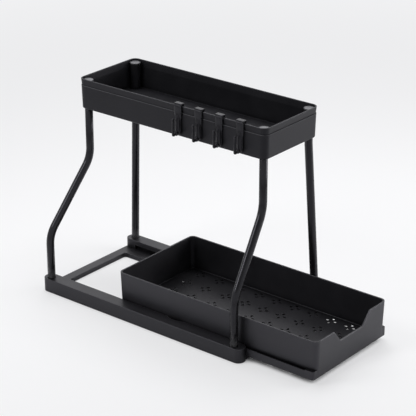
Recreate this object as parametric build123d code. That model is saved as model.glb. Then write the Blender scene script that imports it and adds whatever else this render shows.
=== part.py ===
from build123d import *
import os

# Two-tier organizer for the cabinet under a sink.
# A narrow open tray stands on four tubes over a low base frame with a long drawer.
# All sizes are in millimetres. X is the width, with the hooks on the -X side.
# The drawer pulls out towards -Y. Z is up and the feet stand on Z = 0.

# Base frame
base_length = 400.0
base_width = 220.0
rail_height = 22.4
rail_corner = 10.4
ledge_height = 7.3
ledge_width = 21.0
crossbar_width = 16.4
crossbar_inset = 3.2
ring_corner = 0.8
opening_corner = 4.0
edge_round = 0.8
moulding_wall = 2.2
rib_pitch = 62.0
rib_end_margin = 29.0

# Channel in each rail that carries the drawer
mouth_height = 7.4
lip_thick = 2.2
ceiling_thick = 2.6
channel_end_margin = 23.0
notch_start = 44.0
notch_length = 36.0
notch_depth = 5.0
notch_shares = ((0.0, 0.0), (0.2, 0.75), (0.45, 1.0), (0.8, 0.5), (1.0, 0.0))

# Foot pads
pad_diameter = 12.0
pad_proud = 0.6
pad_thick = 1.5

# Tubes
tube_diameter = 12.5
tube_wall = 0.8
tube_fit = 0.05
bend_radius = 45.0
post_inset_x = 9.0
post_rear_inset = 13.3
post_front_inset = 17.6
socket_floor = 2.5
socket_chamfer = 0.7
near_bend_low = 97.0
near_bend_high = 204.0
far_bend_gap = 9.0
plug_flange = 1.2
plug_depth = 8.0

# Tray
tray_width = 133.0
tray_end_margin = 17.1
tray_shift = 6.7
tray_top = 335.9
tray_height = 49.2
tray_wall = 2.2
tray_floor = 2.4
tray_corner = 11.0
band_height = 11.0
band_flare = 1.3
band_step = 0.8
foot_inset = 1.6
tray_foot_round = 2.4
tray_floor_round = 1.2
boss_top_drop = 3.3
boss_wall = 1.7
boss_base_spread = 0.3
boss_rim = 0.9
boss_shoulder = 2.0

# Caps over the tube ends
cap_diameter = 15.2
cap_thick = 1.6
cap_fit = 0.1
cap_stem_length = 8.0
cap_round = 0.5

# Drawer
drawer_end_margin = 12.0
drawer_side_margin = 20.5
drawer_open = 104.6
drawer_top = 68.0
drawer_draft = 2.15
drawer_wall = 2.4
drawer_floor_top = 12.6
drawer_floor_thick = 1.2
drawer_corner = 9.0
drawer_foot_corner = 7.0
drawer_floor_round = 1.2
drawer_rim_round = 0.7
ride_gap = 0.3
slide_gap = 0.42
flange_reach = 5.7
flange_thick = 2.1
web_thick = 5.4
flange_block_rise = 1.4
flange_block_length = 15.0
flange_corner = 4.0
cut_top_half = 46.0
cut_low_half = 29.0
cut_depth = 20.6
cut_round = 5.0

# Drain holes in the drawer floor
drain_pitch_x = 35.5
drain_front_margin = 52.0
drain_rear_margin = 33.0
drain_side_margin = 16.0
drain_group = 4
drain_spread = 6.9
drain_hole_length = 5.4
drain_hole_width = 3.8
drain_row_shares = (0.0, 0.118, 0.236, 0.355, 0.473, 0.591, 0.725, 0.866, 1.0)

# Hooks on the tray rim
hook_count = 4
hook_pitch = 38.9
hook_front_margin = 45.5
hook_width = 13.6
hook_thick = 1.9
hook_dome = 1.0
hook_gap = 0.35
hook_rest_gap = 0.1
hook_bridge = 4.0
hook_leg_drop = 9.0
hook_low_round = 6.0
hook_plate_drop = 45.5
hook_rod_diameter = 3.4
hook_rod_reach = 11.4
hook_tip_drop = 19.0
hook_rod_rise = 12.0
hook_tip_diameter = 4.0
hook_edge_round = 0.6

# Overrun of every cutting shape past the face that it opens
overrun = 1.0

# Places worked out from the sizes above
half_length = base_length / 2
half_width = base_width / 2
channel_end = half_length - channel_end_margin
rib_reach = half_length - rib_end_margin
tray_length = base_length - 2 * tray_end_margin
drawer_length = base_length - 2 * drawer_end_margin
drawer_half_width = half_width - drawer_side_margin
rail_top = pad_proud + rail_height
ledge_top = pad_proud + ledge_height
drawer_bottom = ledge_top + ride_gap
drawer_height = drawer_top - drawer_bottom
wall_slope = drawer_draft / drawer_height
wall_foot_x = drawer_half_width - drawer_draft
flange_outer = wall_foot_x + flange_reach
flange_inner = flange_outer - flange_thick
channel_outer = flange_outer + slide_gap
lip_outer = flange_inner - slide_gap
lip_inner = lip_outer - lip_thick
ledge_inner = lip_inner - ledge_width
lip_bottom = ledge_top + mouth_height
channel_ceiling = rail_top - ceiling_thick
flange_top = channel_ceiling - slide_gap
flange_block_top = flange_top + flange_block_rise
crossbar_outer = half_length - crossbar_inset
crossbar_inner = crossbar_outer - crossbar_width
drawer_step_y = -half_length - drawer_open - ride_gap
flange_front = drawer_step_y - flange_block_length
drawer_front = flange_front - drawer_draft
drawer_rear = drawer_front + drawer_length
flange_rear = drawer_rear - drawer_draft
tube_radius = tube_diameter / 2
tube_bore = tube_radius - tube_wall
socket_radius = tube_radius + tube_fit
stem_radius = tube_bore - tube_fit
socket_bottom = pad_proud + socket_floor
tray_bottom = tray_top - tray_height
tray_far = half_width
tray_near = tray_far - tray_width
tray_rear = tray_shift + tray_length / 2
tray_front = tray_shift - tray_length / 2
tray_mid_x = (tray_near + tray_far) / 2
band_bottom = tray_top - band_height
boss_waist = tube_radius + boss_wall
boss_base = boss_waist + boss_base_spread
boss_head = cap_diameter / 2 + boss_rim
boss_top = tray_top - boss_top_drop
cap_seat = boss_top - cap_thick
tube_top = cap_seat - boss_shoulder
tube_foot = socket_bottom + plug_flange
post_x = half_width - post_inset_x
post_rear = half_length - post_rear_inset
post_front = post_front_inset - half_length

# The origin lies under the middle of the whole object as it stands with the drawer out
frame_shift = -(drawer_front + half_length) / 2

# Foot and head of each tube as plan places
near_rear_foot = (-post_x, post_rear)
near_front_foot = (-post_x, post_front)
far_rear_foot = (post_x, post_rear)
far_front_foot = (post_x, post_front)
near_rear_head = (tray_near + tray_corner, tray_rear - tray_corner)
near_front_head = (tray_near + tray_corner, tray_front + tray_corner)
far_rear_head = (tray_far - tray_corner, tray_rear - tray_corner)
far_front_head = (tray_far - tray_corner, tray_front + tray_corner)
feet = (near_rear_foot, near_front_foot, far_rear_foot, far_front_foot)
heads = (near_rear_head, near_front_head, far_rear_head, far_front_head)


def block(x0, x1, y0, y1, z0, z1):
    """A box between two corners."""
    centre = Location(((x0 + x1) / 2, (y0 + y1) / 2, (z0 + z1) / 2))
    return centre * Box(abs(x1 - x0), abs(y1 - y0), abs(z1 - z0))


def upright(x, y, radius, z0, z1):
    """An upright round bar."""
    return Location((x, y, (z0 + z1) / 2)) * Cylinder(radius, z1 - z0)


def rounded_section(mid_x, mid_y, size_x, size_y, radius, z):
    """A rounded rectangle lying at a height."""
    return Location((mid_x, mid_y, z)) * RectangleRounded(size_x, size_y, radius)


# Base frame
def rail_plan(side):
    """One side rail as a solid bar with rounded ends."""
    width = half_width - lip_inner
    middle = side * (half_width + lip_inner) / 2
    plan = rounded_section(middle, 0, width, base_length, rail_corner, pad_proud)
    bar = extrude(plan, rail_height)
    return fillet(bar.faces().sort_by(Axis.Z)[-1].edges(), edge_round)


def channel_cut(side):
    """The slot that the drawer's flange runs in, open at the front."""
    front = -half_length - overrun
    outer = side * channel_outer
    mouth_inner = side * (lip_inner - overrun)
    inner = block(side * lip_outer, outer, front, channel_end, ledge_top, channel_ceiling)
    mouth = block(mouth_inner, outer, front, channel_end, ledge_top, lip_bottom)
    return inner + mouth


def notch_cut(side):
    """The dip in the top inner edge of a rail, steep behind and easy in front."""
    edge = side * lip_inner
    open_x = side * (lip_inner - overrun)
    points = []
    for along, deep in notch_shares:
        y = -notch_start - notch_length * along
        points.append((edge + side * notch_depth * deep, y))
    curve = Spline(*points)
    first, last = points[0], points[-1]
    rest = Polyline(last, (open_x, last[1]), (open_x, first[1]), first)
    outline = make_face(curve.edges() + rest.edges())
    height = rail_top - lip_bottom + 2 * overrun
    return Location((0, 0, lip_bottom - overrun)) * extrude(outline, height, dir=(0, 0, 1))


def ledge_ring():
    """The low ring of ledges and crossbars inside the rails."""
    outer = rounded_section(0, 0, 2 * channel_outer, 2 * crossbar_outer, ring_corner, pad_proud)
    hole = rounded_section(0, 0, 2 * ledge_inner, 2 * crossbar_inner, opening_corner, pad_proud)
    ring = extrude(outer - hole, ledge_height)
    top = ring.faces().sort_by(Axis.Z)[-1]
    return fillet(top.inner_wires()[0].edges(), edge_round)


def rib_bays():
    """Start and end of each hollow between the ribs under a rail."""
    count = round(2 * rib_reach / rib_pitch)
    step = 2 * rib_reach / count
    half_wall = moulding_wall / 2
    starts = [step * i - rib_reach for i in range(count)]
    return [(start + half_wall, start + step - half_wall) for start in starts]


def underside_hollows():
    """Hollows under the rails, ledges and crossbars, open towards the floor."""
    low = pad_proud - overrun
    roof = ledge_top - moulding_wall
    cuts = []
    for side in (-1, 1):
        rail = (side * (channel_outer + moulding_wall), side * (half_width - moulding_wall))
        ledge = (side * (ledge_inner + moulding_wall), side * channel_outer)
        for start, end in rib_bays():
            cuts.append(block(*rail, start, end, low, channel_ceiling))
            cuts.append(block(*ledge, start, end, low, roof))
    for end_side in (-1, 1):
        start = end_side * (crossbar_inner + moulding_wall)
        end = end_side * (crossbar_outer - moulding_wall)
        for side in (-1, 1):
            inner = side * moulding_wall / 2
            outer = side * (ledge_inner - moulding_wall)
            cuts.append(block(inner, outer, start, end, low, roof))
    return cuts


def base_frame():
    """Rails, ledges and crossbars in one moulding."""
    frame = ledge_ring()
    for side in (-1, 1):
        frame += rail_plan(side)
    for side in (-1, 1):
        frame -= channel_cut(side)
        frame -= notch_cut(side)
    for x, y in feet:
        frame -= upright(x, y, socket_radius, socket_bottom, rail_top + overrun)
        lead = Location((x, y, rail_top - socket_chamfer / 2)) * Cone(
            socket_radius, socket_radius + socket_chamfer, socket_chamfer
        )
        frame -= lead
        frame -= upright(x, y, pad_diameter / 2 + tube_fit, pad_proud - overrun, pad_thick)
    for hollow in underside_hollows():
        frame -= hollow
    return frame


def foot_pads():
    """Four soft pads let into the underside of the rails."""
    pads = []
    for x, y in feet:
        pad = upright(x, y, pad_diameter / 2, 0, pad_thick)
        pads.append(chamfer(pad.faces().sort_by(Axis.Z)[0].edges(), pad_proud / 2))
    return pads


# Tubes
def post(foot, head, low_bend, high_bend):
    """One bent steel tube between its socket in the base and its boss in the tray."""
    points = [
        (foot[0], foot[1], tube_foot),
        (foot[0], foot[1], low_bend),
        (head[0], head[1], high_bend),
        (head[0], head[1], tube_top),
    ]
    path = FilletPolyline(*points, radius=bend_radius)
    ring = Circle(tube_radius) - Circle(tube_bore)
    start = Plane(origin=points[0], z_dir=(0, 0, 1))
    return sweep(start * ring, path=path)


def near_post(foot, head):
    """A tube that bends in towards the tray."""
    return post(foot, head, near_bend_low, near_bend_high)


def far_post(foot, head):
    """A tube that leans slightly between its two ends."""
    return post(foot, head, rail_top + far_bend_gap, tray_bottom - far_bend_gap)


def tube_plug(foot):
    """The plastic plug in the lower end of a tube."""
    x, y = foot
    flange = upright(x, y, tube_radius, socket_bottom, tube_foot)
    stem = upright(x, y, stem_radius, tube_foot, tube_foot + plug_depth)
    return flange + stem


# Tray
def tray_shell(inset_low, inset_high, z_low, z_high):
    """A solid between two rounded rectangles set in from the rim's outline."""
    sections = []
    for inset, z in ((inset_low, z_low), (inset_high, z_high)):
        sections.append(rounded_section(
            tray_mid_x, tray_shift, tray_width - 2 * inset, tray_length - 2 * inset,
            tray_corner - inset, z
        ))
    return loft(sections)


def boss(head):
    """The waisted column in a tray corner that takes the end of a tube."""
    low = tray_bottom + tray_floor / 2
    middle = (low + boss_top) / 2
    side = ThreePointArc((boss_base, low), (boss_waist, middle), (boss_head, boss_top))
    rest = Polyline((boss_head, boss_top), (0, boss_top), (0, low), (boss_base, low))
    profile = Plane.XZ * make_face(side.edges() + rest.edges())
    return Location((head[0], head[1], 0)) * revolve(profile, Axis.Z)


def top_tray():
    """The upper tray with its flared rim band and four corner bosses."""
    body = tray_shell(foot_inset, band_flare - band_step, tray_bottom, band_bottom)
    body = fillet(body.faces().sort_by(Axis.Z)[0].edges(), tray_foot_round)
    body += tray_shell(band_flare, 0, band_bottom, tray_top)
    inner_low = foot_inset + tray_wall
    floor_z = tray_bottom + tray_floor
    hollow = tray_shell(inner_low, band_flare + tray_wall, floor_z, band_bottom)
    hollow = fillet(hollow.faces().sort_by(Axis.Z)[0].edges(), tray_floor_round)
    hollow += tray_shell(band_flare + tray_wall, tray_wall, band_bottom, tray_top)
    mouth = rounded_section(
        tray_mid_x, tray_shift, tray_width - 2 * tray_wall, tray_length - 2 * tray_wall,
        tray_corner - tray_wall, tray_top
    )
    hollow += extrude(mouth, overrun)
    tray = body - hollow
    rim = tray.faces().sort_by(Axis.Z)[-1]
    tray = fillet(rim.edges(), edge_round)
    for head in heads:
        tray += boss(head)
    for x, y in heads:
        tray -= upright(x, y, socket_radius, tray_bottom - overrun, tube_top)
        tray -= upright(x, y, stem_radius + cap_fit, tube_top, cap_seat)
        tray -= upright(x, y, cap_diameter / 2 + cap_fit, cap_seat, boss_top + overrun)
    return tray


def corner_cap(head):
    """The round cap that closes a boss."""
    x, y = head
    disc = upright(x, y, cap_diameter / 2, cap_seat, boss_top)
    disc = fillet(disc.faces().sort_by(Axis.Z)[-1].edges(), cap_round)
    stem = upright(x, y, stem_radius, cap_seat - cap_stem_length, cap_seat)
    return disc + stem


# Drawer
def drawer_section(inset, radius, z):
    """A level section of the drawer, set in from the rim's outline."""
    mid_y = (drawer_front + drawer_rear) / 2
    return rounded_section(
        0, mid_y, 2 * (drawer_half_width - inset), drawer_length - 2 * inset, radius, z
    )


def drawer_flange(side):
    """The upturned flange along one side of the drawer, with its solid front end."""
    root = side * (wall_foot_x - drawer_wall / 2)
    outer = side * flange_outer
    web = block(root, outer, flange_front, flange_rear, drawer_bottom, drawer_bottom + web_thick)
    strip = block(side * flange_inner, outer, flange_front, flange_rear, drawer_bottom, flange_top)
    inner = side * (wall_foot_x - drawer_foot_corner)
    end = block(inner, outer, flange_front, drawer_step_y, drawer_bottom, flange_block_top)
    flange = web + strip + end
    front_edges = flange.edges().filter_by(Axis.Z).group_by(Axis.Y)[0]
    corner = front_edges.sort_by(Axis.X)[-1 if side > 0 else 0]
    return fillet(corner, flange_corner)


def front_cut():
    """The dip in the front wall that serves as a grip."""
    low = drawer_top - cut_depth
    high = drawer_top + overrun
    left = (-cut_top_half, drawer_top)
    right = (cut_top_half, drawer_top)
    line = FilletPolyline(left, (-cut_low_half, low), (cut_low_half, low), right, radius=cut_round)
    lid = Polyline(right, (cut_top_half, high), (-cut_top_half, high), left)
    face = Plane.XZ * make_face(line.edges() + lid.edges())
    depth = drawer_wall + drawer_draft + overrun
    cut = extrude(face, 2 * depth, dir=(0, 1, 0))
    return Location((0, drawer_front - overrun, 0)) * cut


def drain_holes():
    """Small oval holes in groups of four, in rows over the whole floor."""
    low = drawer_floor_top - drawer_floor_thick - overrun
    run = drawer_length - drain_front_margin - drain_rear_margin
    columns_each_side = int((drawer_half_width - drain_side_margin) / drain_pitch_x)
    holes = Sketch()
    for column in range(-columns_each_side, columns_each_side + 1):
        for share in drain_row_shares:
            x = drain_pitch_x * column
            y = drawer_front + drain_front_margin + run * share
            for turn in range(drain_group):
                place = Location((x, y, 0)) * Rotation(0, 0, turn * 360 / drain_group)
                place = place * Location((drain_spread, 0, 0))
                holes += place * SlotOverall(drain_hole_length, drain_hole_width)
    return Location((0, 0, low)) * extrude(holes, drawer_floor_thick + 2 * overrun)


def drawer_tray():
    """The pull-out drawer with its flanges, front dip and drain holes."""
    body = loft([
        drawer_section(drawer_draft, drawer_foot_corner, drawer_bottom),
        drawer_section(0, drawer_corner, drawer_top),
    ])
    inner_corner = drawer_corner - drawer_wall / 2
    inner_foot_corner = drawer_foot_corner - drawer_wall / 2
    floor_inset = wall_slope * (drawer_top - drawer_floor_top) + drawer_wall
    mouth = drawer_section(drawer_wall, inner_corner, drawer_top)
    hollow = loft([drawer_section(floor_inset, inner_foot_corner, drawer_floor_top), mouth])
    hollow = fillet(hollow.faces().sort_by(Axis.Z)[0].edges(), drawer_floor_round)
    drawer = body - hollow - extrude(mouth, overrun)
    drawer = fillet(drawer.faces().sort_by(Axis.Z)[-1].edges(), drawer_rim_round)
    recess_inset = drawer_draft + drawer_wall
    recess_depth = drawer_floor_top - drawer_floor_thick - drawer_bottom
    recess = drawer_section(recess_inset, inner_foot_corner, drawer_bottom - overrun)
    drawer -= extrude(recess, recess_depth + overrun)
    for side in (-1, 1):
        drawer += drawer_flange(side) - hollow
    drawer -= front_cut()
    drawer -= drain_holes()
    return drawer


# Hooks
def hook_plate(middle_y):
    """The domed plate with its rounded lower end."""
    back = tray_near - hook_gap
    face = back - hook_thick
    half = hook_width / 2
    top = tray_top + hook_rest_gap + hook_bridge
    low = tray_top - hook_plate_drop
    dome = ThreePointArc((face, -half), (face - hook_dome, 0), (face, half))
    rest = Polyline((face, half), (back, half), (back, -half), (face, -half))
    section = make_face(dome.edges() + rest.edges())
    bar = Location((0, middle_y, low)) * extrude(section, top - low)
    shoulder = low + 2 * hook_low_round
    outline = make_face(Polyline(
        (-half, top), (-half, shoulder), (-hook_low_round, low + hook_low_round),
        (hook_low_round, low + hook_low_round), (half, shoulder), (half, top), (-half, top)
    ).edges())
    outline += Location((0, low + hook_low_round)) * Circle(hook_low_round)
    mask = extrude(Plane.YZ * outline, 2 * (hook_thick + hook_dome + overrun), both=True)
    return bar & (Location((back, middle_y, 0)) * mask)


def hook_clip(middle_y):
    """The bridge over the rim and the short leg inside it."""
    back = tray_near - hook_gap
    lean = band_flare * hook_leg_drop / band_height
    inside = tray_near + tray_wall + lean + hook_gap
    half = hook_width / 2
    low = tray_top + hook_rest_gap
    top = low + hook_bridge
    bridge = block(back - hook_thick, inside + hook_thick, middle_y - half, middle_y + half, low, top)
    leg = block(
        inside, inside + hook_thick, middle_y - half, middle_y + half, tray_top - hook_leg_drop, top
    )
    clip = bridge + leg
    crest = clip.edges().filter_by(Axis.Y).sort_by(Axis.Z)[-2:]
    return fillet(crest, hook_edge_round)


def hook_rod(middle_y):
    """The round hook that turns out and up from the foot of the plate."""
    rod = hook_rod_diameter / 2
    start_x = tray_near - hook_gap - hook_thick
    end_x = start_x - hook_rod_reach
    radius = hook_rod_reach / 2
    low = tray_top - hook_plate_drop
    turn = low + radius + rod / 2
    tip = tray_top - hook_tip_drop
    path = Line((start_x, middle_y, turn + hook_rod_rise), (start_x, middle_y, turn))
    path += ThreePointArc(
        (start_x, middle_y, turn), (start_x - radius, middle_y, turn - radius), (end_x, middle_y, turn)
    )
    path += Line((end_x, middle_y, turn), (end_x, middle_y, tip))
    start = Plane(origin=(start_x, middle_y, turn + hook_rod_rise), z_dir=(0, 0, -1))
    bar = sweep(start * Circle(rod), path=path)
    bar += Location((end_x, middle_y, tip)) * Sphere(hook_tip_diameter / 2)
    return bar + Location((start_x, middle_y, turn + hook_rod_rise)) * Sphere(rod)


def rim_hook(number):
    """One hook, counted from the rear."""
    places_to_front = hook_count - 1 - number
    middle_y = tray_front + hook_front_margin + hook_pitch * places_to_front
    return hook_plate(middle_y) + hook_clip(middle_y) + hook_rod(middle_y)


# Written pieces
def save(shape, name):
    """Writes one piece in the object's own frame."""
    pieces = shape if isinstance(shape, list) else [shape]
    moved = [Location((0, frame_shift, 0)) * piece for piece in pieces]
    result = moved[0] if len(moved) == 1 else Compound(children=moved)
    export_step(result, "parts/" + name + ".step")


os.makedirs("parts", exist_ok=True)
save(base_frame(), "base_frame")
save(foot_pads(), "foot_pads")
save(near_post(near_rear_foot, near_rear_head), "post_near_rear")
save(near_post(near_front_foot, near_front_head), "post_near_front")
save(far_post(far_rear_foot, far_rear_head), "post_far_rear")
save(far_post(far_front_foot, far_front_head), "post_far_front")
save([tube_plug(foot) for foot in feet], "tube_plugs")
save(top_tray(), "top_tray")
save(corner_cap(near_rear_head), "cap_near_rear")
save(corner_cap(near_front_head), "cap_near_front")
save(corner_cap(far_rear_head), "cap_far_rear")
save(corner_cap(far_front_head), "cap_far_front")
save(drawer_tray(), "drawer_tray")
for number in range(hook_count):
    save(rim_hook(number), "hook_" + str(number + 1))
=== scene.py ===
import math

import bmesh
import bpy
from mathutils import Matrix, Vector


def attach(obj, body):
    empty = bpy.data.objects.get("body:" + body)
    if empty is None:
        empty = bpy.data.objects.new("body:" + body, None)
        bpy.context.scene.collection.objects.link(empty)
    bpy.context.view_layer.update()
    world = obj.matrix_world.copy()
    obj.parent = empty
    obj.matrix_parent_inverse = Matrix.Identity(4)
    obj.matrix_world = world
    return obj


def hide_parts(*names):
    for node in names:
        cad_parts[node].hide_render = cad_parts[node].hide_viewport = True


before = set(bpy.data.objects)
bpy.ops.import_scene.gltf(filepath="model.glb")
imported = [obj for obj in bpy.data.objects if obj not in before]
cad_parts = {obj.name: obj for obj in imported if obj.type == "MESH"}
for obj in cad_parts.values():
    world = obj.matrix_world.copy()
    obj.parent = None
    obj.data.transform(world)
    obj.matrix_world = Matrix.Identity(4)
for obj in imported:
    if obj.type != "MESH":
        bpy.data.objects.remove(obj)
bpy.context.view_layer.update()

# Two-tier organizer for the cabinet under a sink: an open tray on four bent tubes,
# a low base frame, and a perforated drawer that runs out of the base towards -Y.

MM = 0.001

# Sizes of the tubes
TUBE_RADIUS = 6.25 * MM
TUBE_WALL = 0.8 * MM
TUBE_BEND = 45.0 * MM
TUBE_FOOT = 4.3 * MM
TUBE_HEAD = 329.0 * MM
STEPS_ROUND_TUBE = 40
STEPS_IN_BEND = 14
NEAR_BENDS = (97.0 * MM, 204.0 * MM)
FAR_BENDS = (32.0 * MM, 277.7 * MM)
FOOT_X = 101.0 * MM
FOOT_Y = (247.725 * MM, -121.375 * MM)
HEAD_NEAR_X = -12.0 * MM
HEAD_FAR_X = 99.0 * MM
HEAD_Y = (239.625 * MM, -104.175 * MM)

# Sizes of a hook, across the rim of the tray
RIM_X = -23.0 * MM
RIM_TOP = 335.9 * MM
HOOK_Y = (47.025 * MM, 8.125 * MM, -30.775 * MM, -69.675 * MM)
HOOK_WIDTH = 13.6 * MM
HOOK_THICK = 1.9 * MM
HOOK_DOME = 1.0 * MM
HOOK_GAP = 0.35 * MM
HOOK_LIFT = 0.1 * MM
HOOK_TOP = 4.0 * MM
HOOK_INSIDE = 3.26 * MM
HOOK_LEG = 9.0 * MM
HOOK_DROP = 45.5 * MM
HOOK_EDGE = 0.55 * MM
HOOK_ROUND = 6.0 * MM
HOOK_MARGIN = 0.9 * MM
HOOK_DRAW_IN = 1.3 * MM
DOME_RUN = 2.5 * MM
SIDE_FALL = 0.7 * MM
SIDE_FALL_FROM = 0.88
THIN_END = 0.02
STEPS_IN_ROUND_END = 12
STEPS_UP_PLATE = 34
STEPS_ACROSS_PLATE = 40
RIB_TOP = 10.0 * MM
RIB_RUN = 14.0 * MM
RIB_RISE = 2.4 * MM
RIB_HALF = 4.7 * MM
RIB_SIDE_GAP = 0.3 * MM
BALL_RADIUS = 4.0 * MM
BALL_OUT = 5.2 * MM
BALL_LIFT = 3.2 * MM
PRONG_REACH = 11.2 * MM
PRONG_RADIUS = 1.55 * MM
PRONG_TIP = 17.2 * MM
PRONG_TURN = 1.5 * MM
STEM_LIFT = 2.1 * MM
STEM_START = 3.0 * MM
STEM_START_RADIUS = 1.2 * MM
STEM_NECK = 5.0 * MM
STEM_FLARE = 0.7 * MM
STEPS_IN_TURN = 8
STEPS_ROUND_PRONG = 20
# Shares of the prong's height, and its thickness there, with the bead near the tip
PRONG_SHAPE = (
    (0.3, 1.0), (0.6, 1.0), (0.84, 1.0), (0.89, 1.2),
    (0.93, 1.3), (0.965, 1.15), (0.99, 0.7), (1.0, 0.2),
)


# Sizes that all finishes share
CREASE_REACH = 11.0 * MM
NEIGHBOUR_REACH = 8.0 * MM
LINE_FLAT = 0.1 * MM
LINE_SOFT = 0.5 * MM
WEAR_AND_HIGHLIGHT_RISE = 10.0 * MM
BROAD_SCALE = 22.0
PATCH_SCALE = 900.0
BROAD_RANGE = (0.3, 0.7)
COATING_TINT = (0.9, 0.885, 1.0, 1)


# Shader helpers
def add_node(tree, kind, **values):
    """A node with its settings and its unlinked inputs filled in."""
    node = tree.nodes.new(kind)
    for key, value in values.items():
        if key in node.inputs:
            node.inputs[key].default_value = value
        else:
            setattr(node, key, value)
    return node


def scaled_noise(tree, place, scale, detail, roughness):
    """Noise of a real size on the object's own coordinates."""
    noise = add_node(tree, "ShaderNodeTexNoise", Scale=scale, Detail=detail, Roughness=roughness)
    tree.links.new(place.outputs["Object"], noise.inputs["Vector"])
    return noise.outputs["Fac"]


def mapped(tree, value, low, high, to_low, to_high):
    """A value carried from one range to another."""
    node = tree.nodes.new("ShaderNodeMapRange")
    ends = {"From Min": low, "From Max": high, "To Min": to_low, "To Max": to_high}
    for key, number in ends.items():
        node.inputs[key].default_value = number
    tree.links.new(value, node.inputs["Value"])
    return node.outputs["Result"]


def openness(tree, distance, inside=False):
    """1 on an open surface, less towards an inner corner, or inside towards an outer edge."""
    hollow = add_node(
        tree, "ShaderNodeAmbientOcclusion", samples=6, only_local=True, inside=inside,
        Distance=distance,
    )
    return hollow.outputs["AO"]


def product(tree, *values):
    """The product of values, each an output or a number."""
    result = values[0]
    for value in values[1:]:
        node = add_node(tree, "ShaderNodeMath", operation="MULTIPLY")
        tree.links.new(result, node.inputs[0])
        if isinstance(value, float):
            node.inputs[1].default_value = value
        else:
            tree.links.new(value, node.inputs[1])
        result = node.outputs[0]
    return result


def added(tree, first, second):
    """The sum of two outputs."""
    total = add_node(tree, "ShaderNodeMath", operation="ADD")
    tree.links.new(first, total.inputs[0])
    tree.links.new(second, total.inputs[1])
    return total.outputs[0]


def edge_amount(tree, width):
    """How near the surface is to an outer edge, from 0 on a flat or in a corner to 1."""
    return mapped(tree, openness(tree, width, inside=True), 0.97, 0.6, 0.0, 1.0)


def with_highlight_line(tree, wear_and_highlight, parts, height, edge):
    """Adds a thin painted highlight line round the outside at a height, on the near side only."""
    above = mapped(tree, parts.outputs["Z"], height - LINE_SOFT, height - LINE_FLAT, 0.0, 1.0)
    below = mapped(tree, parts.outputs["Z"], height + LINE_FLAT, height + LINE_SOFT, 1.0, 0.0)
    near = mapped(tree, parts.outputs["X"], edge[0], edge[0] + edge[1], 1.0, 0.0)
    return added(tree, wear_and_highlight, product(tree, above, below, near))


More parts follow.
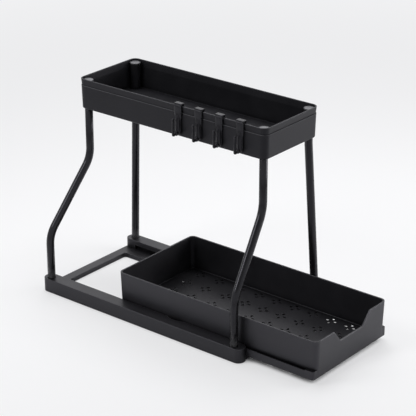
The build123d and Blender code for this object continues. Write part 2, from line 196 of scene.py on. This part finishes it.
def surface(
    name, colour, worn_and_highlight, rough, rough_spread, grain, grain_depth, edge, level,
    wear_and_highlight_from=-1.0, line=None, highlight_line_edge=None, shaded_by_others=False, painted_top_shade=1.0,
    deep_painted_corner_shade=True, painted_foot_light=None,
):
    """A grained surface with edge wear and painted highlights on outer edges, painted shade in inner
    corners and uneven gloss.

    Edge wear and painted highlights start above wear_and_highlight_from. A line is a height where a
    thin painted highlight line runs round the near side, up to highlight_line_edge. A painted foot
    light is a pair of heights between which a pale painted light fades out upwards. painted_top_shade
    is the share of shine left on upward faces, a painted shade on tops; shaded_by_others adds painted
    shade where other parts come close.
    """
    material = bpy.data.materials.new(name)
    material.use_nodes = True
    tree = material.node_tree
    shader = tree.nodes["Principled BSDF"]
    place = tree.nodes.new("ShaderNodeTexCoord")
    parts = tree.nodes.new("ShaderNodeSeparateXYZ")
    tree.links.new(place.outputs["Object"], parts.inputs[0])
    # Painted shade: ambient occlusion lowers the shine towards inner corners, creases and recesses;
    # the flag makes it deeper.
    least = 0.1 * level if deep_painted_corner_shade else 0.6 * level
    shine = mapped(tree, openness(tree, CREASE_REACH), 0.45, 0.95, least, level)
    # Painted shade: the shine drops where other parts come close, a painted contact shadow.
    if shaded_by_others:
        close = add_node(tree, "ShaderNodeAmbientOcclusion", samples=12, Distance=NEIGHBOUR_REACH)
        shine = product(tree, shine, mapped(tree, close.outputs["AO"], 0.5, 0.9, 0.15, 1.0))
    # Painted shade: upward faces keep only a share of their shine, so tops read darker.
    if painted_top_shade < 1:
        facing = tree.nodes.new("ShaderNodeNewGeometry")
        upward = tree.nodes.new("ShaderNodeSeparateXYZ")
        tree.links.new(facing.outputs["True Normal"], upward.inputs[0])
        shine = product(tree, shine, mapped(tree, upward.outputs["Z"], 0.5, 0.95, 1.0, painted_top_shade))
    tree.links.new(shine, shader.inputs["Specular IOR Level"])
    shader.inputs["Specular Tint"].default_value = COATING_TINT
    rounded = add_node(tree, "ShaderNodeBevel", samples=4, Radius=edge)
    broad = scaled_noise(tree, place, BROAD_SCALE, 4.0, 0.55)
    patch = scaled_noise(tree, place, PATCH_SCALE, 3.0, 0.6)
    # Edge wear and painted highlight: outer edges above a height take the paler worn colour, which
    # also stands in for light caught on rounded rims and tips.
    wear_and_highlight = product(
        tree, edge_amount(tree, 2 * edge), mapped(tree, patch, 0.35, 0.65, 0.5, 1.0),
        mapped(tree, parts.outputs["Z"], wear_and_highlight_from, wear_and_highlight_from + WEAR_AND_HIGHLIGHT_RISE, 0.0, 1.0),
    )
    # Painted highlight: a thin bright line at a set height on the near side.
    if line is not None:
        wear_and_highlight = with_highlight_line(tree, wear_and_highlight, parts, line, highlight_line_edge)
    # Painted light: the foot of the part is lightened towards the bottom, standing in for reflected
    # light.
    if painted_foot_light is not None:
        foot_light = mapped(tree, parts.outputs["Z"], painted_foot_light[0], painted_foot_light[1], 1.0, 0.0)
        wear_and_highlight = added(tree, wear_and_highlight, foot_light)
    spread = add_node(tree, "ShaderNodeMath", operation="MULTIPLY_ADD")
    tree.links.new(mapped(tree, broad, *BROAD_RANGE, 0.0, 0.05), spread.inputs[0])
    spread.inputs[1].default_value = 1.0
    tree.links.new(wear_and_highlight, spread.inputs[2])
    tint = add_node(tree, "ShaderNodeMix", data_type="RGBA")
    tint.inputs["A"].default_value = (*colour, 1)
    tint.inputs["B"].default_value = (*worn_and_highlight, 1)
    tree.links.new(spread.outputs[0], tint.inputs["Factor"])
    tree.links.new(tint.outputs["Result"], shader.inputs["Base Color"])
    tree.links.new(
        mapped(tree, broad, *BROAD_RANGE, rough - rough_spread, rough + rough_spread),
        shader.inputs["Roughness"],
    )
    fine = scaled_noise(tree, place, 1 / grain, 2.0, 0.6)
    bump = add_node(tree, "ShaderNodeBump", Strength=1.0, Distance=grain_depth)
    tree.links.new(fine, bump.inputs["Height"])
    tree.links.new(rounded.outputs["Normal"], bump.inputs["Normal"])
    tree.links.new(bump.outputs["Normal"], shader.inputs["Normal"])
    return material


def give(node_name, material):
    """Sets a carried node's finish."""
    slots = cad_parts[node_name].data.materials
    slots.clear()
    slots.append(material)


def new_object(name, mesh):
    """A piece whose place is in its mesh."""
    obj = bpy.data.objects.new(name, mesh)
    bpy.context.scene.collection.objects.link(obj)
    return obj


def plain_mesh(obj, name):
    """Replaces an object that carries modifiers by its finished mesh."""
    graph = bpy.context.evaluated_depsgraph_get()
    mesh = bpy.data.meshes.new_from_object(obj.evaluated_get(graph))
    mesh.name = name
    bpy.data.objects.remove(obj)
    return mesh


def shade_smooth(mesh, angle=40.0):
    """Smooth shading with crisp edges above an angle."""
    for polygon in mesh.polygons:
        polygon.use_smooth = True
    mesh.set_sharp_from_angle(angle=math.radians(angle))


# Finishes
frame_plastic = surface(
    "frame_plastic", (0.0055, 0.0055, 0.0063), (0.11, 0.11, 0.117), 0.46, 0.04,
    0.35 * MM, 0.010 * MM, 0.5 * MM, 0.5, painted_top_shade=0.88,
)
# The tray carries painted shade near the hooks and a painted highlight line round its band on the near
# side.
tray_plastic = surface(
    "tray_plastic", (0.0083, 0.0083, 0.0097), (0.11, 0.11, 0.119), 0.46, 0.04,
    0.35 * MM, 0.010 * MM, 0.5 * MM, 0.25,
    line=324.9 * MM, highlight_line_edge=(-22 * MM, 2 * MM), shaded_by_others=True,
)
drawer_plastic = surface(
    "drawer_plastic", (0.0055, 0.0055, 0.0063), (0.1, 0.1, 0.106), 0.43, 0.04,
    0.3 * MM, 0.008 * MM, 0.5 * MM, 0.64, wear_and_highlight_from=20 * MM, painted_top_shade=0.62,
)
hook_plastic = surface(
    "hook_plastic", (0.0065, 0.0065, 0.0075), (0.03, 0.03, 0.033), 0.24, 0.02,
    0.3 * MM, 0.003 * MM, 0.35 * MM, 0.34, deep_painted_corner_shade=False, painted_top_shade=0.8,
)
# The tubes carry painted light on their feet, paler towards the bottom.
black_paint = surface(
    "black_paint", (0.008, 0.008, 0.0088), (0.09, 0.09, 0.094), 0.2, 0.03,
    0.8 * MM, 0.010 * MM, 0.25 * MM, 0.34, deep_painted_corner_shade=False, painted_foot_light=(26 * MM, 42 * MM),
)
grey_plastic = surface(
    "grey_plastic", (0.1, 0.1, 0.107), (0.17, 0.17, 0.18), 0.4, 0.05,
    0.3 * MM, 0.008 * MM, 0.3 * MM, 0.4,
)
soft_rubber = surface(
    "soft_rubber", (0.012, 0.012, 0.013), (0.03, 0.03, 0.03), 0.75, 0.06,
    0.5 * MM, 0.02 * MM, 0.3 * MM, 0.3,
)
plug_plastic = surface(
    "plug_plastic", (0.01, 0.01, 0.011), (0.04, 0.04, 0.04), 0.55, 0.05,
    0.3 * MM, 0.01 * MM, 0.3 * MM, 0.35,
)


# Tubes
def tube_tree():
    """Rounds the corners of a path and sweeps a ring along it."""
    tree = bpy.data.node_groups.new("bent_tube", "GeometryNodeTree")
    face = tree.interface
    face.new_socket("Path", in_out="INPUT", socket_type="NodeSocketGeometry")
    for name in ("Tube radius", "Bend radius"):
        face.new_socket(name, in_out="INPUT", socket_type="NodeSocketFloat")
    for name in ("Steps round", "Steps in a bend"):
        face.new_socket(name, in_out="INPUT", socket_type="NodeSocketInt")
    face.new_socket("Finish", in_out="INPUT", socket_type="NodeSocketMaterial")
    face.new_socket("Tube", in_out="OUTPUT", socket_type="NodeSocketGeometry")
    start = tree.nodes.new("NodeGroupInput")
    end = tree.nodes.new("NodeGroupOutput")
    bend = add_node(tree, "GeometryNodeFilletCurve", mode="POLY")
    ring = add_node(tree, "GeometryNodeCurvePrimitiveCircle", mode="RADIUS")
    sweep = tree.nodes.new("GeometryNodeCurveToMesh")
    smooth = tree.nodes.new("GeometryNodeSetShadeSmooth")
    real = tree.nodes.new("GeometryNodeRealizeInstances")
    finish = tree.nodes.new("GeometryNodeSetMaterial")
    for source, target in (
        (start.outputs["Path"], bend.inputs["Curve"]),
        (start.outputs["Bend radius"], bend.inputs["Radius"]),
        (start.outputs["Steps in a bend"], bend.inputs["Count"]),
        (start.outputs["Tube radius"], ring.inputs["Radius"]),
        (start.outputs["Steps round"], ring.inputs["Resolution"]),
        (bend.outputs["Curve"], sweep.inputs["Curve"]),
        (ring.outputs["Curve"], sweep.inputs["Profile Curve"]),
        (sweep.outputs["Mesh"], smooth.inputs["Geometry"]),
        (smooth.outputs["Geometry"], real.inputs["Geometry"]),
        (real.outputs["Geometry"], finish.inputs["Geometry"]),
        (start.outputs["Finish"], finish.inputs["Material"]),
        (finish.outputs["Geometry"], end.inputs["Tube"]),
    ):
        tree.links.new(source, target)
    return tree


def with_tree(path, tree, values):
    """Puts a node tree with its input values on a path."""
    modifier = path.modifiers.new(tree.name, "NODES")
    modifier.node_group = tree
    for item in tree.interface.items_tree:
        if item.in_out == "INPUT" and item.name in values:
            modifier[item.identifier] = values[item.name]


def path_object(name, points):
    """An open line through points."""
    line = bpy.data.curves.new(name, "CURVE")
    line.dimensions = "3D"
    spline = line.splines.new("POLY")
    spline.points.add(len(points) - 1)
    for point, place in zip(spline.points, points):
        point.co = (*place, 1)
    return new_object(name, line)


def bent_tube(name, tree, foot, head, bends, node):
    """One tube of the frame, from its plug in the base to its seat in the tray."""
    points = (
        (*foot, TUBE_FOOT), (*foot, bends[0]), (*head, bends[1]), (*head, TUBE_HEAD),
    )
    path = path_object(name + "_path", points)
    with_tree(path, tree, {
        "Tube radius": TUBE_RADIUS, "Bend radius": TUBE_BEND,
        "Steps round": STEPS_ROUND_TUBE, "Steps in a bend": STEPS_IN_BEND, "Finish": black_paint,
    })
    tube = new_object(name, plain_mesh(path, name))
    wall = tube.modifiers.new("wall", "SOLIDIFY")
    wall.thickness = TUBE_WALL
    wall.offset = -1
    shade_smooth(tube.data)
    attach(tube, "stand")
    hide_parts(node)


# Hooks
def strap_outline():
    """Side view of the bridge over the rim and its inner leg, as places across and up."""
    out = RIM_X - HOOK_GAP - HOOK_THICK
    back = RIM_X - HOOK_GAP
    inner = RIM_X + HOOK_INSIDE + HOOK_GAP
    under = RIM_TOP + HOOK_LIFT
    top = under + HOOK_TOP
    low = RIM_TOP - HOOK_LEG
    return (
        (out, low), (back, low), (back, under), (inner, under), (inner, low),
        (inner + HOOK_THICK, low), (inner + HOOK_THICK, top), (out, top),
    )


def strap_mesh(middle_y):
    """The bridge and leg with rounded edges."""
    shape = bmesh.new()
    half = HOOK_WIDTH / 2
    corners = [shape.verts.new((x, middle_y - half, z)) for x, z in strap_outline()]
    side = shape.faces.new(corners)
    moved = bmesh.ops.extrude_face_region(shape, geom=[side])["geom"]
    across = [v for v in moved if isinstance(v, bmesh.types.BMVert)]
    bmesh.ops.translate(shape, verts=across, vec=(0, HOOK_WIDTH, 0))
    bmesh.ops.recalc_face_normals(shape, faces=shape.faces)
    bmesh.ops.bevel(
        shape, geom=list(shape.edges), offset=HOOK_EDGE, segments=3, profile=0.5, affect="EDGES"
    )
    return shape


def ease(value):
    """A share from 0 to 1 with soft ends."""
    value = min(max(value, 0.0), 1.0)
    return value * value * (3 - 2 * value)


def close_rings(shape, rings):
    """Joins rings of corners into one closed skin."""
    faces = [shape.faces.new(rings[0]), shape.faces.new(rings[-1])]
    for a, b in zip(rings, rings[1:]):
        for k in range(len(a)):
            n = (k + 1) % len(a)
            faces.append(shape.faces.new((a[k], a[n], b[n], b[k])))
    bmesh.ops.recalc_face_normals(shape, faces=faces)


def plate_mesh(shape, middle_y):
    """Adds the domed plate with its round lower end and the swelling of the rib."""
    back = RIM_X - HOOK_GAP
    low = RIM_TOP - HOOK_DROP
    high = RIM_TOP + HOOK_TOP / 2
    levels = [
        low + HOOK_ROUND * (1 - math.cos(math.pi / 2 * i / STEPS_IN_ROUND_END))
        for i in range(1, STEPS_IN_ROUND_END + 1)
    ]
    levels += [
        low + HOOK_ROUND + (high - low - HOOK_ROUND) * i / STEPS_UP_PLATE
        for i in range(1, STEPS_UP_PLATE + 1)
    ]
    rings = []
    for z in levels:
        rise = z - low
        swell = ease((RIM_TOP - RIB_TOP - z) / RIB_RUN)
        full = HOOK_WIDTH / 2 - HOOK_DRAW_IN * swell
        half = full
        if rise < HOOK_ROUND:
            half = full * math.sqrt(1 - (1 - rise / HOOK_ROUND) ** 2)
        dome = HOOK_DOME * ease((high - z) / DOME_RUN)
        rib_half = min(RIB_HALF, half - RIB_SIDE_GAP)
        end = math.sqrt(max(THIN_END, 1 - max(0.0, 1 - rise / HOOK_ROUND) ** 2))
        ring = [shape.verts.new((back, middle_y + side, z)) for side in (-half, half)]
        for i in range(STEPS_ACROSS_PLATE + 1):
            share = math.sin(math.pi / 2 * (1 - 2 * i / STEPS_ACROSS_PLATE))
            y = share * half
            flat = HOOK_THICK + dome * (1 - share ** 4)
            flat -= SIDE_FALL * max(0.0, (abs(share) - SIDE_FALL_FROM) / (1 - SIDE_FALL_FROM)) ** 2
            across_rib = abs(y) / rib_half
            ribbed = HOOK_MARGIN
            if across_rib < 1:
                round_top = math.sqrt(1 - across_rib ** 2)
                ribbed += (HOOK_THICK + HOOK_DOME + RIB_RISE - HOOK_MARGIN) * round_top
            deep = (flat + (ribbed - flat) * swell) * end
            ring.append(shape.verts.new((back - deep, middle_y + y, z)))
        rings.append(ring)
    close_rings(shape, rings)


def prong_path():
    """Places and thicknesses along the prong, from inside the rib to its tip."""
    face = RIM_X - HOOK_GAP - HOOK_THICK
    level = RIM_TOP - HOOK_DROP + STEM_LIFT
    bend_x = face - PRONG_REACH + PRONG_TURN
    places = [
        (face - STEM_START, level, STEM_START_RADIUS),
        (face - STEM_NECK, level, PRONG_RADIUS + STEM_FLARE),
    ]
    for i in range(STEPS_IN_TURN + 1):
        angle = math.pi / 2 * i / STEPS_IN_TURN
        places.append((
            bend_x - PRONG_TURN * math.sin(angle), level + PRONG_TURN * (1 - math.cos(angle)),
            PRONG_RADIUS + STEM_FLARE * (1 - i / STEPS_IN_TURN),
        ))
    middle = level + PRONG_TURN
    tip = RIM_TOP - PRONG_TIP
    for share, size in PRONG_SHAPE:
        places.append((face - PRONG_REACH, middle + (tip - middle) * share, PRONG_RADIUS * size))
    return places


def prong_mesh(shape, middle_y):
    """Adds the prong as one closed skin round its path."""
    path = [(Vector((x, middle_y, z)), size) for x, z, size in prong_path()]
    turns = [2 * math.pi * k / STEPS_ROUND_PRONG for k in range(STEPS_ROUND_PRONG)]
    rings = []
    for i, (place, size) in enumerate(path):
        before = path[max(i - 1, 0)][0]
        after = path[min(i + 1, len(path) - 1)][0]
        along = (after - before).normalized()
        side = Vector((0, 1, 0))
        lift = along.cross(side)
        rings.append([
            shape.verts.new(place + (side * math.cos(turn) + lift * math.sin(turn)) * size)
            for turn in turns
        ])
    close_rings(shape, rings)


def ball_mesh(shape, middle_y):
    """Adds the ball at the foot of the rib."""
    place = (RIM_X - HOOK_GAP - BALL_OUT, middle_y, RIM_TOP - HOOK_DROP + BALL_LIFT)
    bmesh.ops.create_uvsphere(
        shape, u_segments=28, v_segments=18, radius=BALL_RADIUS, matrix=Matrix.Translation(place)
    )


def rim_hook(number):
    """One hook with its strap, rib, ball and prong."""
    name = "rim_hook_" + str(number + 1)
    node = "hook_" + str(number + 1)
    shape = strap_mesh(HOOK_Y[number])
    plate_mesh(shape, HOOK_Y[number])
    ball_mesh(shape, HOOK_Y[number])
    prong_mesh(shape, HOOK_Y[number])
    mesh = bpy.data.meshes.new(name)
    shape.to_mesh(mesh)
    shape.free()
    shade_smooth(mesh, 50.0)
    mesh.materials.append(hook_plastic)
    hook = new_object(name, mesh)
    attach(hook, node)
    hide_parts(node)


# The organizer
tubes = tube_tree()
for side_name, foot_x, head_x, bends in (
    ("near", -FOOT_X, HEAD_NEAR_X, NEAR_BENDS), ("far", FOOT_X, HEAD_FAR_X, FAR_BENDS),
):
    for end_name, foot_y, head_y in zip(("rear", "front"), FOOT_Y, HEAD_Y):
        corner = side_name + "_" + end_name
        bent_tube("tube_" + corner, tubes, (foot_x, foot_y), (head_x, head_y), bends, "post_" + corner)
for hook_number in range(len(HOOK_Y)):
    rim_hook(hook_number)
for node_name, finish in (
    ("base_frame", frame_plastic), ("top_tray", tray_plastic), ("drawer_tray", drawer_plastic),
    ("cap_near_rear", grey_plastic), ("cap_near_front", grey_plastic),
    ("cap_far_rear", grey_plastic), ("cap_far_front", grey_plastic),
    ("foot_pads", soft_rubber), ("tube_plugs", plug_plastic),
):
    give(node_name, finish)


# Floor, light and camera
PAPER = (0.925, 0.927, 0.94, 1)
WHITE = (1, 1, 1, 1)
FLOOR_RADIUS = 14.0
SHADOW_SHARE = 0.4
SHADOW_REACH = (0.7, 2.2)
# Reach and range of the painted shade on the floor under and close to the object.
PAINTED_SHADE_REACH = 40 * MM
PAINTED_SHADE_RANGE = (0.12, 0.5)
REFLECTED_GLOW = 0.25
BACKDROP_GLOW = 0.86
UPPER_GLOW = 0.3
UPPER_RISE = (0.45, 0.75)
WORLD_LIGHT = 0.25
CAMERA_AZIMUTH = math.radians(-50.96)
CAMERA_ELEVATION = math.radians(23.14)
CAMERA_DISTANCE = 2.51644
CAMERA_TARGET = Vector((-0.01368, -0.00185, 0.18074))
CAMERA_LENS = 144.57
CAMERA_SENSOR = 36.0


def background_rays(tree, reflected=1.0):
    """1 for a ray of the camera, a share of it for a reflection or a view through glass."""
    path = tree.nodes.new("ShaderNodeLightPath")
    clear = add_node(tree, "ShaderNodeMath", operation="MAXIMUM")
    tree.links.new(path.outputs["Is Glossy Ray"], clear.inputs[0])
    tree.links.new(path.outputs["Is Transmission Ray"], clear.inputs[1])
    part = add_node(tree, "ShaderNodeMath", operation="MULTIPLY")
    tree.links.new(clear.outputs[0], part.inputs[0])
    part.inputs[1].default_value = reflected
    seen = add_node(tree, "ShaderNodeMath", operation="MAXIMUM")
    tree.links.new(path.outputs["Is Camera Ray"], seen.inputs[0])
    tree.links.new(part.outputs[0], seen.inputs[1])
    return seen.outputs[0]


def studio_floor():
    """A plain pale floor under the object, which shows its shadow softly, with painted shade under and
    close to the object.
    """
    shape = bmesh.new()
    bmesh.ops.create_circle(shape, cap_ends=True, radius=FLOOR_RADIUS, segments=96)
    mesh = bpy.data.meshes.new("floor")
    shape.to_mesh(mesh)
    shape.free()
    floor = new_object("floor", mesh)
    material = bpy.data.materials.new("floor_paper")
    material.use_nodes = True
    tree = material.node_tree
    shader = tree.nodes["Principled BSDF"]
    shader.inputs["Base Color"].default_value = PAPER
    shader.inputs["Roughness"].default_value = 0.95
    shader.inputs["Specular IOR Level"].default_value = 0.0
    glow = add_node(tree, "ShaderNodeEmission", Strength=1.0)
    glow.inputs["Color"].default_value = PAPER
    place = tree.nodes.new("ShaderNodeTexCoord")
    distance = add_node(tree, "ShaderNodeVectorMath", operation="LENGTH")
    tree.links.new(place.outputs["Object"], distance.inputs[0])
    share = add_node(tree, "ShaderNodeMath", operation="MULTIPLY")
    tree.links.new(background_rays(tree, REFLECTED_GLOW), share.inputs[0])
    far_glow = mapped(tree, distance.outputs["Value"], *SHADOW_REACH, 1 - SHADOW_SHARE, 1.0)
    tree.links.new(far_glow, share.inputs[1])
    # Painted shade: ambient occlusion withdraws the glow under and close to the object, a painted
    # contact shadow.
    painted_cover_shade = add_node(tree, "ShaderNodeAmbientOcclusion", samples=32, Distance=PAINTED_SHADE_REACH)
    glow_outside_painted_shade = mapped(tree, painted_cover_shade.outputs["AO"], *PAINTED_SHADE_RANGE, 0.0, 1.0)
    choose = tree.nodes.new("ShaderNodeMixShader")
    tree.links.new(product(tree, share.outputs[0], glow_outside_painted_shade), choose.inputs[0])
    tree.links.new(shader.outputs[0], choose.inputs[1])
    tree.links.new(glow.outputs[0], choose.inputs[2])
    tree.links.new(choose.outputs[0], tree.nodes["Material Output"].inputs["Surface"])
    mesh.materials.append(material)


def studio_world():
    """Even soft light all round, with a pale backdrop for the camera and for reflections."""
    world = bpy.data.worlds.new("studio")
    bpy.context.scene.world = world
    world.use_nodes = True
    tree = world.node_tree
    tree.nodes.clear()
    lamp = add_node(tree, "ShaderNodeBackground", Strength=WORLD_LIGHT)
    lamp.inputs["Color"].default_value = WHITE
    place = tree.nodes.new("ShaderNodeTexCoord")
    parts = tree.nodes.new("ShaderNodeSeparateXYZ")
    tree.links.new(place.outputs["Generated"], parts.inputs[0])
    backdrop = tree.nodes.new("ShaderNodeBackground")
    backdrop.inputs["Color"].default_value = PAPER
    glow = mapped(tree, parts.outputs["Z"], *UPPER_RISE, BACKDROP_GLOW, UPPER_GLOW)
    tree.links.new(glow, backdrop.inputs["Strength"])
    choose = tree.nodes.new("ShaderNodeMixShader")
    tree.links.new(background_rays(tree), choose.inputs[0])
    tree.links.new(lamp.outputs[0], choose.inputs[1])
    tree.links.new(backdrop.outputs[0], choose.inputs[2])
    output = tree.nodes.new("ShaderNodeOutputWorld")
    tree.links.new(choose.outputs[0], output.inputs["Surface"])


def soft_sun(name, strength, direction, spread):
    """A distant soft lamp shining along a direction."""
    data = bpy.data.lights.new(name, "SUN")
    data.energy = strength
    data.angle = math.radians(spread)
    lamp = bpy.data.objects.new(name, data)
    lamp.rotation_mode = "QUATERNION"
    lamp.rotation_quaternion = Vector(direction).to_track_quat("-Z", "Y")
    bpy.context.scene.collection.objects.link(lamp)


def soft_box(name, power, place, aim, sizes):
    """A wide soft lamp that shines from one place towards another."""
    data = bpy.data.lights.new(name, "AREA")
    data.energy = power
    data.shape = "RECTANGLE"
    data.size, data.size_y = sizes
    lamp = bpy.data.objects.new(name, data)
    lamp.location = place
    lamp.rotation_mode = "QUATERNION"
    lamp.rotation_quaternion = (Vector(aim) - Vector(place)).to_track_quat("-Z", "Y")
    lamp.visible_camera = False
    bpy.context.scene.collection.objects.link(lamp)


def photo_camera():
    """The camera at the angle of the picture."""
    level = math.cos(CAMERA_ELEVATION)
    back = Vector((
        math.sin(CAMERA_AZIMUTH) * level, -math.cos(CAMERA_AZIMUTH) * level,
        math.sin(CAMERA_ELEVATION),
    ))
    data = bpy.data.cameras.new("camera")
    data.sensor_width = CAMERA_SENSOR
    data.lens = CAMERA_LENS
    data.clip_start = 0.05
    data.clip_end = 60.0
    camera = bpy.data.objects.new("camera", data)
    camera.rotation_mode = "QUATERNION"
    camera.location = CAMERA_TARGET + back * CAMERA_DISTANCE
    camera.rotation_quaternion = (-back).to_track_quat("-Z", "Y")
    bpy.context.scene.collection.objects.link(camera)
    bpy.context.scene.camera = camera


studio_floor()
studio_world()
soft_box("overhead", 7.7, (0.25, 0.2, 1.15), (0.25, 0.2, 0), (0.6, 0.8))
soft_box("right_front", 8.6, (1.0, -0.9, 0.5), (0, 0, 0.15), (0.9, 0.7))
soft_box("left_rear", 5.6, (-0.84, 0.57, 1.13), (0, 0, 0.15), (0.45, 0.7))
soft_sun("rear_right", 0.4, (-0.6, -0.5, -0.62), 40.0)
photo_camera()
bpy.context.scene.view_settings.view_transform = "Standard"
